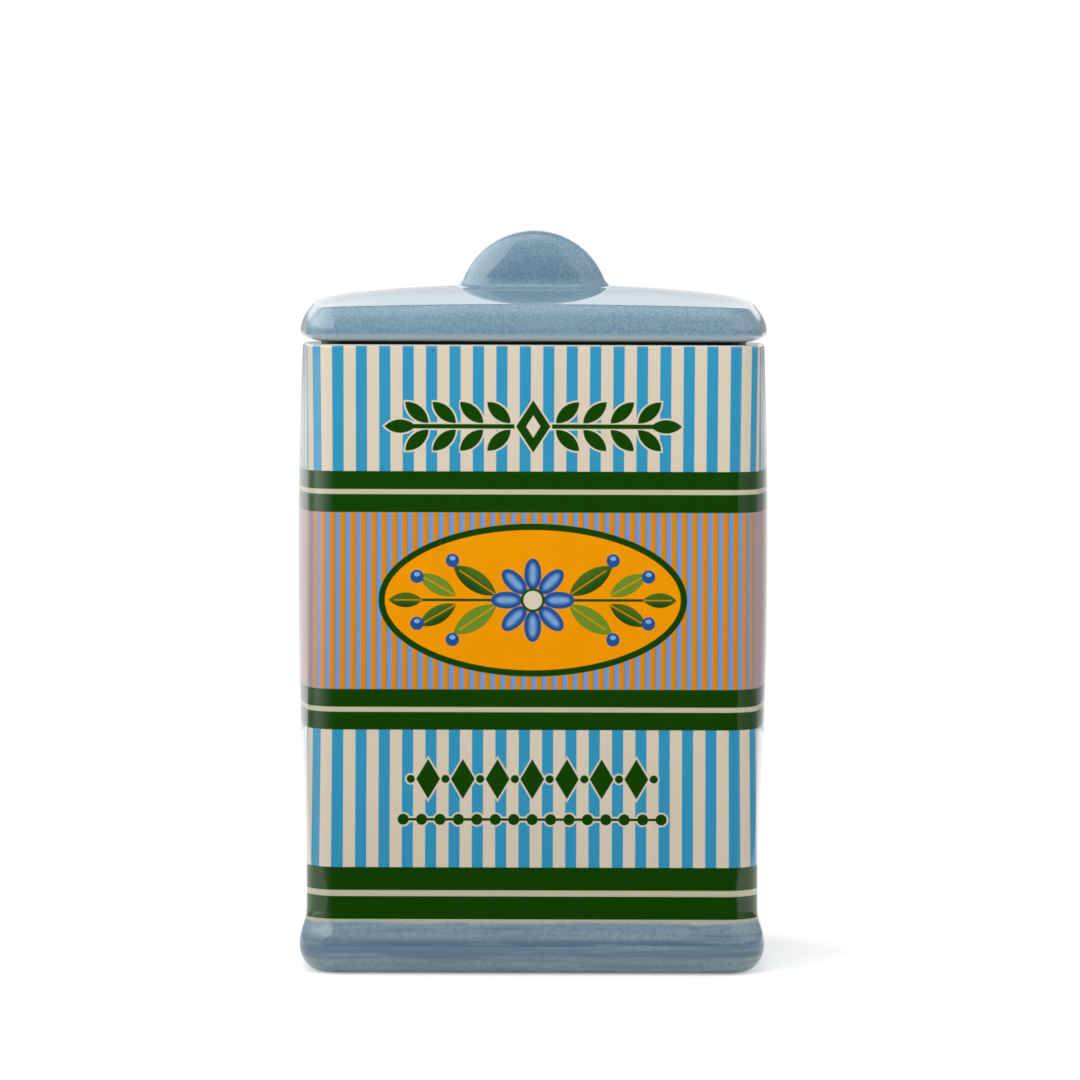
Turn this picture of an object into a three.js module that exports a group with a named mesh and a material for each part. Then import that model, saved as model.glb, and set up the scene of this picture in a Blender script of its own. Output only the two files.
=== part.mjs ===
// Ceramic oil jar: a rectangular stoneware jar with a bullnose foot and a lift-off lid on a silicone seal.
// Millimetres, +Z up. The jar stands on z = 0, centred on the Z axis, and its front faces -Y.
import * as THREE from "three";

// Jar body
const BODY_WIDTH = 122; // across the vertical edges, before the side walls bow out
const BODY_DEPTH = 82.5; // between the flat front and the flat back
const BODY_CORNER = 9.3; // plan radius of the vertical edges
const INNER_CORNER = 5; // the least plan radius of the corners inside
const RIM_HEIGHT = 169.3; // table to rim
const WALL = 6;
const BASE = 6; // between the cavity floor and the recess underneath
const RIM_OUTER_ROUND = 1;
const RIM_INNER_ROUND = 0.6;
const FLOOR_FILLET = 4; // where the cavity floor meets its walls

// Side walls, each bowed out as one large arc
const BOW_FULLEST = 3.5;
const BOW_AT_RIM = 2.25;
const BOW_AT_FOOT = 0.6;
const FULLEST_HEIGHT = 112;

// Bullnose foot
const FOOT_PROUD = 1.92; // beyond the wall
const FOOT_FULLEST = 7.4; // height of its widest line
const FOOT_ROUND = 6; // how far the rounded bottom edge turns in
const COVE_HEIGHT = 9.8; // from the widest line up to the plain wall
const COVE_FULL = 0.4; // share of that height drawn out along the foot
const COVE_TIGHT = 0.1; // share of it drawn out along the wall
const FOOT_RING = 5; // width of the ring that stands on the table
const RECESS = 2; // depth of the hollow inside that ring
const RECESS_DRAFT = 1.5; // how far the side of the recess leans in

// Lid
const LID_OVERHANG = 0.6; // beyond the body's wall
const EDGE_UNDER_IN = 6; // rounding under the lid's edge, inwards and upwards
const EDGE_UNDER_UP = 2.6;
const FLANK_IN = 3.4; // the leaning flank above that, inwards and upwards
const FLANK_UP = 7.1;
const EDGE_ROUND = 1.8; // from the flank into the roof
const ROOF_RISE = 4.75; // from the top of the edge to the ridge
const ROOF_CROWN = 0.75; // how much steeper than its mean slope the roof starts
const CORNER_DROP = 1; // how far the lid's corners hang below the middle of its front
const END_LIFT = 1.4; // how far the middles of its ends stand above the middle of its front
const LID_WALL = 3.5; // from the hollow underside up to the edge of the roof
const CEILING_FILLET = 4;

// Half-moon grip, a disc with a soft round edge that stands half out of the ridge
const GRIP_RADIUS = 20.65;
const GRIP_FLAT = 11; // radius of its flat faces
const GRIP_THICKNESS = 13;
const GRIP_HEIGHT = 15.3; // above the ridge
const GRIP_FILLET = 2.4; // where the grip grows out of the roof
const RIDGE_FALL = 0.08; // slope of the roof across the ridge

// Plug under the lid
const PLUG_DEPTH = 13;
const PLUG_WALL = 4.2;
const PLUG_CLEARANCE = 1.6; // from the plug's bead to the wall of the jar
const PLUG_ROUND = 2;
const GROOVE_HEIGHT = 8; // the seal's seat, from the bead up to the lid

// Silicone seal
const SEAL_LIP = 0.7; // thickness of the lip between rim and lid
const SEAL_LIP_REACH = 1; // how far the lip lies over the rim
const SEAL_SLEEVE = 1.2;
const SEAL_SEAT_GAP = 0.3; // between the sleeve and the plug
const FIN_REACH = 2;
const FIN_GAP = 0.3; // between a fin's tip and the wall of the jar
const FIN_ROOT = 1; // thickness at the sleeve
const FIN_TIP = 0.6;
const FIN_PITCH = 2.7;
const FIN_COUNT = 2;

// Facets of the outlines and profiles
const FRONT_STEPS = 1; // half of the front
const CORNER_STEPS = 6;
const SIDE_STEPS = 3; // half of a side
const ROUND_STEPS = 4;
const EDGE_STEPS = 7;
const COVE_STEPS = 6;
const WALL_STEPS = 9;
const ROOF_STEPS = 5;
const GRIP_STEPS = 9;
const GRIP_TOP_ANGLE = THREE.MathUtils.degToRad(86);
const FLATTEST_BOW = 0.05;

// Levels and offsets that the pieces share. An offset is measured outwards from the body's wall.
const COVE_TOP = FOOT_FULLEST + COVE_HEIGHT;
const FLOOR = RECESS + BASE;
const LID_SEAT = RIM_HEIGHT + SEAL_LIP;
const EDGE_FULLEST = LID_SEAT + EDGE_UNDER_UP;
const FLANK_LEAN = Math.atan2(FLANK_IN, FLANK_UP / 2);
const ROOF_RUN = (BODY_DEPTH - GRIP_THICKNESS) / 2 - FLANK_IN;
const ROOF_PITCH = Math.atan(((1 + ROOF_CROWN) * ROOF_RISE) / ROOF_RUN);
const ROOF_EDGE = EDGE_FULLEST + FLANK_UP + EDGE_ROUND * (Math.cos(ROOF_PITCH) - Math.sin(FLANK_LEAN));
const RIDGE = ROOF_EDGE + ROOF_RISE;
const GRIP_CENTRE = RIDGE + GRIP_HEIGHT - GRIP_RADIUS;
const BEAD_TOP = LID_SEAT - GROOVE_HEIGHT;
const PLUG_BOTTOM = LID_SEAT - PLUG_DEPTH;
const CEILING = ROOF_EDGE - LID_WALL;
const FIN_END = -WALL - FIN_GAP;
const SLEEVE_OUTSIDE = FIN_END - FIN_REACH;
const SLEEVE_INSIDE = SLEEVE_OUTSIDE - SEAL_SLEEVE;
const GROOVE_FLOOR = SLEEVE_INSIDE - SEAL_SEAT_GAP;
const PLUG_INSIDE = GROOVE_FLOOR - PLUG_WALL;
const BEAD_OUTSIDE = -WALL - PLUG_CLEARANCE;

const { lerp, clamp } = THREE.MathUtils;
const point = (offset, z) => new THREE.Vector2(offset, z);

// Part of an ellipse in a profile, from one angle in degrees to another.
function arc(centre, roundIn, roundUp, from, to, steps = ROUND_STEPS) {
  const [start, end] = [from, to].map(THREE.MathUtils.degToRad);
  const curve = new THREE.EllipseCurve(centre.x, centre.y, roundIn, roundUp, start, end, end < start);
  return curve.getPoints(steps);
}

// Joins pieces of a profile and drops points that repeat.
function profileOf(...pieces) {
  const points = pieces.flat();
  return points.filter((p, i) => i === 0 || p.distanceTo(points[i - 1]) > 1e-6);
}

// Points along an arc in plan, after its first one.
function planArc(centre, radius, from, to, steps) {
  return Array.from({ length: steps }, (_, i) => {
    const angle = lerp(from, to, (i + 1) / steps);
    return new THREE.Vector2(radius, 0).rotateAround(new THREE.Vector2(), angle).add(centre);
  });
}

// A quarter of the jar's plan, from the middle of the front to the middle of the right side: a flat front,
// a round corner and half of the bowed side, which is one arc tangent to the corner.
function jarQuarter(offset, bow) {
  const halfWidth = BODY_WIDTH / 2 + offset;
  const halfDepth = BODY_DEPTH / 2 + offset;
  const corner = Math.max(BODY_CORNER + offset, INNER_CORNER);
  const straight = halfDepth - corner;
  const sagitta = Math.max(bow, FLATTEST_BOW);
  const sideRadius = (straight ** 2 + sagitta ** 2) / (2 * sagitta);
  const turn = Math.asin(straight / (sideRadius - corner));
  const sideCentre = new THREE.Vector2(halfWidth + sagitta - sideRadius, 0);
  const cornerX = sideCentre.x + (sideRadius - corner) * Math.cos(turn);
  const cornerCentre = new THREE.Vector2(cornerX, -straight);
  const front = Array.from(
    { length: FRONT_STEPS + 1 },
    (_, i) => new THREE.Vector2((cornerX * i) / FRONT_STEPS, -halfDepth),
  );
  return [
    ...front,
    ...planArc(cornerCentre, corner, -Math.PI / 2, -turn, CORNER_STEPS),
    ...planArc(sideCentre, sideRadius, -turn, 0, SIDE_STEPS),
  ];
}

// A quarter of a level section through the grip, grown outwards by a margin. Above its flat faces the
// section is round all the way.
function gripQuarter(height, margin) {
  const half = GRIP_THICKNESS / 2;
  const edgeIn = GRIP_RADIUS - GRIP_FLAT;
  const isFlat = height < GRIP_FLAT;
  const widest = isFlat ? Math.PI / 2 : Math.acos((height - GRIP_FLAT) / edgeIn);
  const edge = (angle) => {
    const radius = GRIP_FLAT + edgeIn * Math.cos(angle);
    const x = Math.sqrt(Math.max(radius ** 2 - height ** 2, 0));
    return new THREE.Vector2(x + margin * Math.cos(angle), -(half + margin) * Math.sin(angle));
  };
  const flatSteps = isFlat ? FRONT_STEPS : 0;
  const roundSteps = FRONT_STEPS + CORNER_STEPS + SIDE_STEPS - flatSteps;
  const flatEnd = edge(widest);
  const flat = Array.from({ length: flatSteps }, (_, i) => flatEnd.clone().setX((flatEnd.x * i) / flatSteps));
  const round = Array.from({ length: roundSteps + 1 }, (_, i) => edge(widest * (1 - i / roundSteps)));
  return [...flat, ...round];
}

// Mirrors a quarter into a whole ring, anticlockwise from the middle of the front.
function wholeRing(quarter) {
  const mirrored = (x, y) => quarter.map((p) => new THREE.Vector2(p.x * x, p.y * y));
  return [
    ...mirrored(1, 1).slice(0, -1),
    ...mirrored(1, -1).reverse().slice(0, -1),
    ...mirrored(-1, -1).slice(0, -1),
    ...mirrored(-1, 1).reverse().slice(0, -1),
  ];
}

const raised = (ring, z) => ring.map((p) => new THREE.Vector3(p.x, p.y, z));
const jarRing = (offset, z, bow) => raised(wholeRing(jarQuarter(offset, bow)), z);

// A closed skin over a stack of rings. Its two ends are capped, or joined to each other if it is a loop.
function loft(rings, loop = false) {
  const count = rings[0].length;
  const points = rings.flat();
  const index = [];
  const last = loop ? rings.length : rings.length - 1;
  for (let i = 0; i < last; i += 1) {
    const low = i * count;
    const high = ((i + 1) % rings.length) * count;
    for (let j = 0; j < count; j += 1) {
      const next = (j + 1) % count;
      index.push(low + j, low + next, high + next, low + j, high + next, high + j);
    }
  }
  if (!loop) {
    const top = (rings.length - 1) * count;
    const middle = (ring) => ring.reduce((sum, p) => sum.add(p), new THREE.Vector3()).divideScalar(count);
    points.push(middle(rings[0]), middle(rings.at(-1)));
    for (let j = 0; j < count; j += 1) {
      const next = (j + 1) % count;
      index.push(points.length - 2, next, j, points.length - 1, top + j, top + next);
    }
  }
  const geometry = new THREE.BufferGeometry().setFromPoints(points);
  geometry.setIndex(index);
  geometry.computeVertexNormals();
  return geometry;
}

// How far the side walls bow out at a height.
function sideBow(z) {
  const upper = z > FULLEST_HEIGHT;
  const end = upper ? RIM_HEIGHT : COVE_TOP;
  const away = clamp((z - FULLEST_HEIGHT) / (end - FULLEST_HEIGHT), 0, 1);
  return lerp(BOW_FULLEST, upper ? BOW_AT_RIM : BOW_AT_FOOT, away ** 2);
}

// The plain wall between two levels, at one offset.
function wallPoints(offset, from, to, steps) {
  return Array.from({ length: steps + 1 }, (_, i) => point(offset, lerp(from, to, i / steps)));
}

// The jar: under the foot, up the outside, over the rim, down the inside and across the floor.
function jarBody() {
  const ringOutside = FOOT_PROUD - FOOT_ROUND;
  const ringInside = ringOutside - FOOT_RING;
  const cove = new THREE.CubicBezierCurve(
    point(FOOT_PROUD, FOOT_FULLEST),
    point(FOOT_PROUD, FOOT_FULLEST + COVE_FULL * COVE_HEIGHT),
    point(0, COVE_TOP - COVE_TIGHT * COVE_HEIGHT),
    point(0, COVE_TOP),
  );
  const outerRim = point(-RIM_OUTER_ROUND, RIM_HEIGHT - RIM_OUTER_ROUND);
  const innerRim = point(RIM_INNER_ROUND - WALL, RIM_HEIGHT - RIM_INNER_ROUND);
  const floorEdge = point(-WALL - FLOOR_FILLET, FLOOR + FLOOR_FILLET);
  const profile = profileOf(
    point(ringInside - RECESS_DRAFT, RECESS),
    point(ringInside, 0),
    arc(point(ringOutside, FOOT_FULLEST), FOOT_ROUND, FOOT_FULLEST, -90, 0, EDGE_STEPS),
    cove.getPoints(COVE_STEPS),
    wallPoints(0, COVE_TOP, outerRim.y, WALL_STEPS),
    arc(outerRim, RIM_OUTER_ROUND, RIM_OUTER_ROUND, 0, 90),
    arc(innerRim, RIM_INNER_ROUND, RIM_INNER_ROUND, 90, 180, 2),
    wallPoints(-WALL, innerRim.y, floorEdge.y, WALL_STEPS),
    arc(floorEdge, FLOOR_FILLET, FLOOR_FILLET, 0, -90),
  );
  return loft(profile.map((p) => jarRing(p.x, p.y, sideBow(p.y))));
}

// Lets the upper part of the lid sink towards its four corners and rise in the middle of its ends.
function droop(ring) {
  const halfWidth = BODY_WIDTH / 2 + LID_OVERHANG;
  const halfDepth = BODY_DEPTH / 2 + LID_OVERHANG;
  return ring.map((p) => {
    const share = clamp((p.z - EDGE_FULLEST) / (ROOF_EDGE - EDGE_FULLEST), 0, 1);
    const across = (p.x / halfWidth) ** 2;
    const deep = (p.y / halfDepth) ** 2;
    return new THREE.Vector3(p.x, p.y, p.z + share * across * lerp(END_LIFT, -CORNER_DROP, deep));
  });
}

// The lid from the ceiling of its hollow, down and round the plug, along its underside and over its edge.
function lidShell() {
  const ceilingEdge = point(PLUG_INSIDE - CEILING_FILLET, CEILING - CEILING_FILLET);
  const plugFoot = PLUG_BOTTOM + PLUG_ROUND;
  const edge = point(LID_OVERHANG - EDGE_UNDER_IN, EDGE_FULLEST);
  const flank = new THREE.QuadraticBezierCurve(
    point(LID_OVERHANG, EDGE_FULLEST),
    point(LID_OVERHANG, EDGE_FULLEST + FLANK_UP / 2),
    point(LID_OVERHANG - FLANK_IN, EDGE_FULLEST + FLANK_UP),
  );
  const lean = THREE.MathUtils.radToDeg(FLANK_LEAN);
  const level = 90 - THREE.MathUtils.radToDeg(ROOF_PITCH);
  const roundCentre = point(-EDGE_ROUND, 0).rotateAround(point(0, 0), FLANK_LEAN).add(flank.v2);
  const profile = profileOf(
    arc(ceilingEdge, CEILING_FILLET, CEILING_FILLET, 90, 0),
    point(PLUG_INSIDE, plugFoot),
    arc(point(PLUG_INSIDE + PLUG_ROUND, plugFoot), PLUG_ROUND, PLUG_ROUND, 180, 270, 2),
    arc(point(BEAD_OUTSIDE - PLUG_ROUND, plugFoot), PLUG_ROUND, PLUG_ROUND, -90, 0, 2),
    point(BEAD_OUTSIDE, BEAD_TOP),
    point(GROOVE_FLOOR, BEAD_TOP),
    point(GROOVE_FLOOR, LID_SEAT),
    arc(edge, EDGE_UNDER_IN, EDGE_UNDER_UP, -90, 0, EDGE_STEPS),
    flank.getPoints(EDGE_STEPS),
    arc(roundCentre, EDGE_ROUND, EDGE_ROUND, lean, level),
  );
  return profile.map((p) => droop(jarRing(p.x, p.y, BOW_AT_RIM)));
}

// The fillet and the half-moon grip that stand on the ridge, as rings from the roof up.
function gripRings() {
  const fillet = Array.from({ length: ROUND_STEPS + 1 }, (_, i) => {
    const angle = (Math.PI / 2) * (i / ROUND_STEPS);
    const rise = GRIP_FILLET * (1 - Math.cos(angle));
    const margin = GRIP_FILLET * (1 - Math.sin(angle));
    const ring = raised(wholeRing(gripQuarter(RIDGE + rise - GRIP_CENTRE, margin)), RIDGE + rise);
    const fall = RIDGE_FALL * (1 - rise / GRIP_FILLET);
    return ring.map((p) => new THREE.Vector3(p.x, p.y, p.z - fall * Math.abs(p.y)));
  });
  const start = Math.asin((RIDGE + GRIP_FILLET - GRIP_CENTRE) / GRIP_RADIUS);
  const disc = Array.from({ length: GRIP_STEPS }, (_, i) => {
    const height = GRIP_RADIUS * Math.sin(lerp(start, GRIP_TOP_ANGLE, (i + 1) / GRIP_STEPS));
    return raised(wholeRing(gripQuarter(height, 0)), GRIP_CENTRE + height);
  });
  return [...fillet, ...disc];
}

// The hipped roof between the lid's edge and the grip, steeper at the edge than at the ridge.
function roofRings(edge, grip) {
  return Array.from({ length: ROOF_STEPS - 1 }, (_, i) => {
    const run = (i + 1) / ROOF_STEPS;
    const rise = run * (1 + ROOF_CROWN * (1 - run));
    return edge.map((p, j) => {
      const flat = p.clone().lerp(grip[j], run);
      return new THREE.Vector3(flat.x, flat.y, lerp(p.z, grip[j].z, rise));
    });
  });
}

function lid() {
  const shell = lidShell();
  const grip = gripRings();
  return loft([...shell, ...roofRings(shell.at(-1), grip[0]), ...grip]);
}

// The seal: a sleeve in the plug's groove, fins towards the wall of the jar and a lip that the lid rests on.
function lidSeal() {
  const fins = Array.from({ length: FIN_COUNT }, (_, i) => {
    const middle = RIM_HEIGHT - RIM_INNER_ROUND - FIN_PITCH * (FIN_COUNT - i) + FIN_PITCH / 2;
    return [
      point(SLEEVE_OUTSIDE, middle - FIN_ROOT / 2),
      point(FIN_END, middle - FIN_TIP / 2),
      point(FIN_END, middle + FIN_TIP / 2),
      point(SLEEVE_OUTSIDE, middle + FIN_ROOT / 2),
    ];
  });
  const bottom = BEAD_TOP + SEAL_SEAT_GAP;
  const lipEnd = SEAL_LIP_REACH - WALL;
  const profile = profileOf(
    point(SLEEVE_INSIDE, bottom),
    point(SLEEVE_OUTSIDE, bottom),
    fins.flat(),
    point(SLEEVE_OUTSIDE, RIM_HEIGHT),
    point(lipEnd, RIM_HEIGHT),
    point(lipEnd, LID_SEAT),
    point(SLEEVE_INSIDE, LID_SEAT),
  );
  return loft(profile.map((p) => jarRing(p.x, p.y, BOW_AT_RIM)), true);
}

// A named mesh with its own finish.
function piece(name, geometry, color, roughness) {
  const mesh = new THREE.Mesh(geometry, new THREE.MeshStandardMaterial({ color, roughness, metalness: 0 }));
  mesh.name = name;
  return mesh;
}

const jar = new THREE.Group();
jar.add(piece("jar_body", jarBody(), "#d8cdbd", 0.2));

const lidGroup = new THREE.Group();
lidGroup.add(piece("lid", lid(), "#829fb0", 0.2));
lidGroup.add(piece("lid_seal", lidSeal(), "#2b2c2e", 0.45));
jar.add(lidGroup);

export default jar;
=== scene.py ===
from math import acos, asin, atan, atan2, cos, degrees, hypot, pi, radians, sin

import bpy
import numpy as np
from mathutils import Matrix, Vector


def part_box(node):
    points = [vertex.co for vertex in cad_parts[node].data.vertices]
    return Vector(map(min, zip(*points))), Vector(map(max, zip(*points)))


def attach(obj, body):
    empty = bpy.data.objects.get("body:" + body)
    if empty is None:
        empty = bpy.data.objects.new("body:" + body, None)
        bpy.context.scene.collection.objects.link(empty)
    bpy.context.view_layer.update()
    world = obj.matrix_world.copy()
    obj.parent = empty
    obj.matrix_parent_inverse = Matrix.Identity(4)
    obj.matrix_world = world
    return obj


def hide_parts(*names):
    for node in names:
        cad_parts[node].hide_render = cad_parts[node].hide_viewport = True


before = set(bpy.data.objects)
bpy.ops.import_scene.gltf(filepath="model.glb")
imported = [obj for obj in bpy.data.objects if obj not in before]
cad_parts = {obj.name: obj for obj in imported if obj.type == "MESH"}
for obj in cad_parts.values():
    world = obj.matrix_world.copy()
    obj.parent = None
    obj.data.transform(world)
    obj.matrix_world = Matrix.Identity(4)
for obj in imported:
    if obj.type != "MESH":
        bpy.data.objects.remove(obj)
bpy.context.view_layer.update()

LID_LOW, LID_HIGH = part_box("lid")
MM = 0.001

# Jar body
BODY_CORNER = 9.3 * MM
INNER_CORNER = 5 * MM
WALL = 6 * MM
BASE = 6 * MM
RIM_OUTER_ROUND = 1 * MM
RIM_INNER_ROUND = 0.6 * MM
FLOOR_FILLET = 4 * MM
BOW_FULLEST = 3.5 * MM
BOW_AT_RIM = 2.25 * MM
BOW_AT_FOOT = 0.6 * MM
FULLEST_HEIGHT = 112 * MM
FLATTEST_BOW = 0.05 * MM

# Bullnose foot
FOOT_PROUD = 1.92 * MM
FOOT_FULLEST = 7.4 * MM
FOOT_ROUND = 6 * MM
COVE_HEIGHT = 9.8 * MM
COVE_FULL = 0.4
COVE_TIGHT = 0.4
FOOT_RING = 5 * MM
RECESS = 2 * MM
RECESS_DRAFT = 1.5 * MM

# Lid with its half-moon grip
LID_OVERHANG = 0.6 * MM
EDGE_UNDER_IN = 6 * MM
EDGE_UNDER_UP = 2.6 * MM
FLANK_IN = 3.4 * MM
FLANK_UP = 7.1 * MM
EDGE_ROUND = 1.8 * MM
ROOF_RISE = 4.75 * MM
ROOF_CROWN = 0.75
CORNER_DROP = 1.8 * MM
END_LIFT = 1.4 * MM
SHOULDER_DROP = 1 * MM
SHOULDER_RUN = 8 * MM
LID_WALL = 3.5 * MM
CEILING_FILLET = 4 * MM
GRIP_RADIUS = 20.65 * MM
GRIP_FLAT = 11 * MM
GRIP_THICKNESS = 13 * MM
GRIP_HEIGHT = 15.3 * MM
GRIP_FILLET = 2.4 * MM
RIDGE_FALL = 0.08
PLUG_WALL = 4.2 * MM
PLUG_CLEARANCE = 1.6 * MM
PLUG_ROUND = 2 * MM
GROOVE_HEIGHT = 8 * MM

# Silicone seal
SEAL_LIP_REACH = 1 * MM
SEAL_SLEEVE = 1.2 * MM
SEAL_SEAT_GAP = 0.3 * MM
FIN_REACH = 2 * MM
FIN_GAP = 0.3 * MM
FIN_ROOT = 1 * MM
FIN_TIP = 0.6 * MM
FIN_PITCH = 2.7 * MM
FIN_COUNT = 2

# Levels and offsets that the pieces share. An offset is measured outwards from the body's wall.
HALF_WIDTH = LID_HIGH.x - LID_OVERHANG - BOW_AT_RIM
HALF_DEPTH = LID_HIGH.y - LID_OVERHANG
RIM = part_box("jar_body")[1].z
LID_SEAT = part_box("lid_seal")[1].z
PLUG_BOTTOM = LID_LOW.z
COVE_TOP = FOOT_FULLEST + COVE_HEIGHT
FLOOR = RECESS + BASE
EDGE_FULLEST = LID_SEAT + EDGE_UNDER_UP
FLANK_LEAN = atan2(FLANK_IN, FLANK_UP / 2)
ROOF_RUN = HALF_DEPTH - GRIP_THICKNESS / 2 - FLANK_IN
ROOF_PITCH = atan((1 + ROOF_CROWN) * ROOF_RISE / ROOF_RUN)
ROOF_EDGE = EDGE_FULLEST + FLANK_UP + EDGE_ROUND * (cos(ROOF_PITCH) - sin(FLANK_LEAN))
RIDGE = ROOF_EDGE + ROOF_RISE
GRIP_CENTRE = RIDGE + GRIP_HEIGHT - GRIP_RADIUS
BEAD_TOP = LID_SEAT - GROOVE_HEIGHT
CEILING = ROOF_EDGE - LID_WALL
FIN_END = -WALL - FIN_GAP
SLEEVE_OUTSIDE = FIN_END - FIN_REACH
SLEEVE_INSIDE = SLEEVE_OUTSIDE - SEAL_SLEEVE
GROOVE_FLOOR = SLEEVE_INSIDE - SEAL_SEAT_GAP
PLUG_INSIDE = GROOVE_FLOOR - PLUG_WALL
BEAD_OUTSIDE = -WALL - PLUG_CLEARANCE

# Facets
FRONT_STEPS = 10
CORNER_STEPS = 18
SIDE_STEPS = 9
ARC_STEPS = 10
WALL_STEPS = 30
ROOF_STEPS = 20
ROOF_CROWDING = 1.6
GRIP_STEPS = 40
GRIP_DENSE = 200
GRIP_TOP_ANGLE = radians(89)
FIN_STEPS = 6
SHARP_ANGLE = radians(40)
SAME_RING = 1e-7

# The print, in heights on the wall and distances round it from the middle of the front
WRAP = "Wrap"
STRIPE_COUNT = 63
STRIPE_SHARE = 0.48
CREAM_STRIPE_AT = 0.97 * MM
FINE_COUNT = 142
FINE_SHARE = 0.52
ORANGE_STRIPE_AT = -1.03 * MM
FINE_LINE = 0.14
FINE_LINE_INK = 0.6
FINE_BLUR = 0.22 * MM
PRINT_TOP = 168.95 * MM
PRINT_BOTTOM = 22 * MM
BANDS = (
    # middle of the band, half its height, half the height of the line along its middle
    (129.98 * MM, 5.49 * MM, 0.67 * MM),
    (71.57 * MM, 5.45 * MM, 0.67 * MM),
    (22.06 * MM, 7.02 * MM, 0.81 * MM),
)
FOOT_GLAZE_TOP = 14.1 * MM
MEDALLION_HEIGHT = 101 * MM
MEDALLION_HALF = (41.3 * MM, 20.5 * MM)
MEDALLION_RING = 1.7 * MM
GARLAND_HEIGHT = 147.5 * MM
GARLAND_HALF = 39.5 * MM
LOZENGES_HEIGHT = 52.9 * MM
LOZENGES_HALF = 32.5 * MM
BEADS_HEIGHT = 42 * MM
BEADS_HALF = 34.5 * MM
OUTLINE = 0.45 * MM
PRINT_BLUR = 0.12 * MM
FOOT_GLAZE_BLUR = 0.5 * MM
FOOT_WANDER = 2 * MM
# Painted reflection on the foot's bullnose: paler high up, where it faces the light above, and paler low
# down, partly thinner glaze and partly the pale table mirrored
FOOT_UPPER_SHEEN = (8.6 * MM, 10.5 * MM)
FOOT_LOWER_THIN_AND_SHEEN = (4 * MM, 5.6 * MM)

# Grain of the materials
GLAZE_CLOUD_SIZE = 22 * MM
GROUND_CLOUD_SIZE = 7 * MM
LID_CLOUD_SIZE = 18 * MM
LID_MOTTLE_SIZE = 0.6 * MM
# Painted light: how high above the lid's seat the painted paler underside fades out
LID_UNDERSIDE_LIGHT_RISE = 3 * MM
FINE_MOTTLE_SIZE = 1.1 * MM
STREAK_SIZE = 1.5 * MM
STREAK_STRETCH = (0.05, 0.05, 1)
FOOT_WANDER_SIZE = 12 * MM
DUST_SIZE = 3 * MM
CLAY_GRAIN_SIZE = 0.5 * MM
CLAY_GRAIN_DEPTH = 0.08 * MM
GLAZE_UNEVENNESS = 0.05 * MM
PRINT_ROUGHNESS = 0.05
LID_ROUGHNESS = 0.05
CREAM_ROUGHNESS = 0.06
CLAY_ROUGHNESS = 0.85
SILICONE_ROUGHNESS = (0.4, 0.55)


def srgb(red, green, blue):
    """A colour given as 0 to 255, in linear light."""
    values = np.array([red, green, blue]) / 255
    linear = np.where(values <= 0.04045, values / 12.92, ((values + 0.055) / 1.055) ** 2.4)
    return (*(float(v) for v in linear), 1.0)


WHITE = (1, 1, 1, 1)
CREAM = srgb(220, 208, 187)
CREAM_SHADE = srgb(211, 197, 172)
STRIPE_BLUE = srgb(54, 151, 191)
STRIPE_SHADE = srgb(48, 144, 188)
BAND_GREEN = srgb(22, 68, 6)
BAND_SHADE = srgb(16, 58, 3)
BAND_LINE = srgb(200, 194, 167)
FINE_ORANGE = srgb(221, 137, 10)
FINE_BLUE = srgb(116, 154, 213)
FINE_EDGE = srgb(128, 124, 92)
GROUND_ORANGE = srgb(246, 156, 2)
GROUND_SHADE = srgb(236, 140, 0)
LEAF_DARK = srgb(28, 74, 22)
LEAF_LIGHT = srgb(112, 142, 40)
FLOWER_BLUE = srgb(34, 84, 150)
FLOWER_PALE = srgb(128, 172, 222)
FOOT_LINE = srgb(178, 181, 164)
FOOT_BLUE = srgb(96, 126, 146)
# Painted reflection on the foot's bullnose: the upper blue for light from above; the lower blue partly
# thinner glaze, partly the pale table mirrored
FOOT_UPPER_SHEEN_BLUE = srgb(130, 157, 168)
FOOT_LOWER_THIN_AND_SHEEN_BLUE = srgb(136, 160, 166)
FOOT_DARK_STREAK = srgb(86, 115, 136)
FOOT_PALE_STREAK = srgb(140, 166, 174)
FOOT_MOTTLE = srgb(94, 122, 140)
LID_BLUE = srgb(126, 155, 172)
LID_MOTTLE = srgb(106, 137, 156)
LID_CLOUD = srgb(124, 154, 170)
# Painted light: the pale glaze along the lid's underside stands in for light bounced up from the table
LID_UNDERSIDE_LIGHT = srgb(190, 212, 222)
IRON_SPECK = srgb(84, 66, 48)
PINHOLE = srgb(226, 224, 214)
CLAY = srgb(196, 178, 150)
CLAY_GRAIN = srgb(172, 150, 122)
# Painted shade: the seal is near black so that the gap under the lid reads dark
SILICONE = srgb(24, 25, 27)
SILICONE_DUST = srgb(44, 45, 46)

SPRAY_LEAVES = (
    # place of its middle, angle, length, width, colour
    ((15.5 * MM, 5.2 * MM), 34, 14 * MM, 5.4 * MM, LEAF_DARK),
    ((15.5 * MM, -5.2 * MM), -34, 14 * MM, 5.4 * MM, LEAF_LIGHT),
    ((25.5 * MM, 4 * MM), 30, 11.5 * MM, 4.6 * MM, LEAF_LIGHT),
    ((25.5 * MM, -4 * MM), -30, 11.5 * MM, 4.6 * MM, LEAF_DARK),
    ((34 * MM, 0), 0, 9 * MM, 4 * MM, LEAF_DARK),
)
SPRAY_BERRIES = ((21.5 * MM, 10.6 * MM), (21.5 * MM, -10.6 * MM), (31 * MM, 6.3 * MM), (31 * MM, -6.3 * MM))


# Shapes

def arc(centre, round_in, round_up, start, end, steps=ARC_STEPS):
    """Part of an ellipse in a profile, from one angle in degrees to another."""
    angles = np.radians(np.linspace(start, end, steps + 1))
    return [(centre[0] + round_in * cos(a), centre[1] + round_up * sin(a)) for a in angles]


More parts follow.
